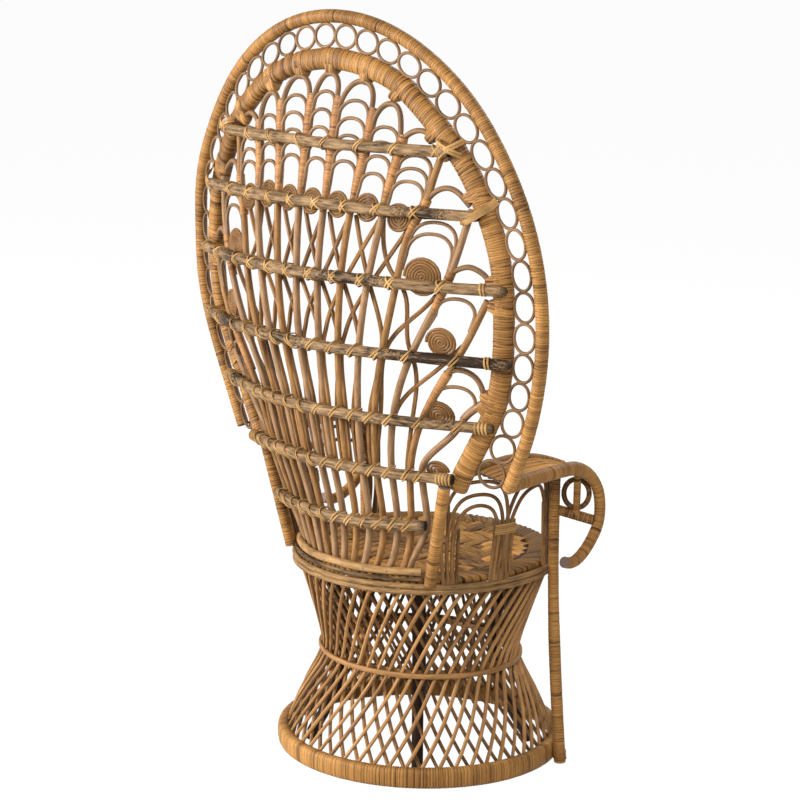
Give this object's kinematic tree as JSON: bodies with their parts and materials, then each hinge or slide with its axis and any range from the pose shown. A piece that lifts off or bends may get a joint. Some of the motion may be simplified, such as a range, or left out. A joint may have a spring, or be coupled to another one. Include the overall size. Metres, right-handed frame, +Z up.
{
  "type": "peacock chair",
  "caption": "Tall fan-backed rattan chair with a round woven seat, scroll arms and an hourglass base of crossed canes.",
  "frame": {"origin": "middle of the footprint of the bounding box, on the floor", "axes": "+Z up, +Y to the back of the chair, the sitter faces -Y, +X to the sitter's left"},
  "size_m": [0.9602, 0.5918, 1.4499],
  "materials": {
    "wrapped_peel": "satin rattan peel wound over a pole",
    "brown_cane": "matte brown cane",
    "bark_pole": "matte unpeeled rattan pole with nodes",
    "pale_pole": "satin peeled rattan pole",
    "straw_weave": "matte woven straw",
    "dark_pole": "matte dark pole"
  },
  "bodies": {
    "root": {"base_hoop": "wrapped_peel", "lattice_outer_1": "brown_cane", "lattice_outer_2": "brown_cane", "lattice_outer_3": "brown_cane", "lattice_outer_4": "brown_cane", "lattice_inner_1": "brown_cane", "lattice_inner_2": "brown_cane", "lattice_inner_3": "brown_cane", "lattice_inner_4": "brown_cane", "inner_leg_1": "dark_pole", "inner_leg_2": "dark_pole", "inner_leg_3": "dark_pole", "inner_leg_4": "dark_pole", "cross_brace_1": "dark_pole", "cross_brace_2": "dark_pole", "seat_hoop_lower": "pale_pole", "seat_rim": "straw_weave", "seat_panel": "straw_weave", "seat_hoop_upper": "pale_pole", "outer_hoop": "wrapped_peel", "inner_band": "wrapped_peel", "ring_chain": "brown_cane", "back_bar_1": "bark_pole", "back_bar_2": "bark_pole", "back_bar_3": "bark_pole", "back_bar_4": "bark_pole", "back_bar_5": "bark_pole", "back_bar_6": "bark_pole", "back_bar_7": "bark_pole", "stake_left_1": "brown_cane", "stake_left_2": "brown_cane", "stake_left_3": "brown_cane", "stake_left_4": "brown_cane", "stake_left_5": "brown_cane", "stake_left_6": "brown_cane", "stake_left_7": "brown_cane", "stake_right_1": "brown_cane", "stake_right_2": "brown_cane", "stake_right_3": "brown_cane", "stake_right_4": "brown_cane", "stake_right_5": "brown_cane", "stake_right_6": "brown_cane", "stake_right_7": "brown_cane", "fan_diagonals": "brown_cane", "arm_post_left": "wrapped_peel", "arm_rail_left": "wrapped_peel", "arm_inner_rail_left": "wrapped_peel", "arm_rear_post_left": "wrapped_peel", "arm_panel_left": "brown_cane", "arm_brace_left": "wrapped_peel", "arm_loops_left": "brown_cane", "arm_post_right": "wrapped_peel", "arm_rail_right": "wrapped_peel", "arm_inner_rail_right": "wrapped_peel", "arm_rear_post_right": "wrapped_peel", "arm_panel_right": "brown_cane", "arm_brace_right": "wrapped_peel", "arm_loops_right": "brown_cane"}
  },
  "joints": []
}
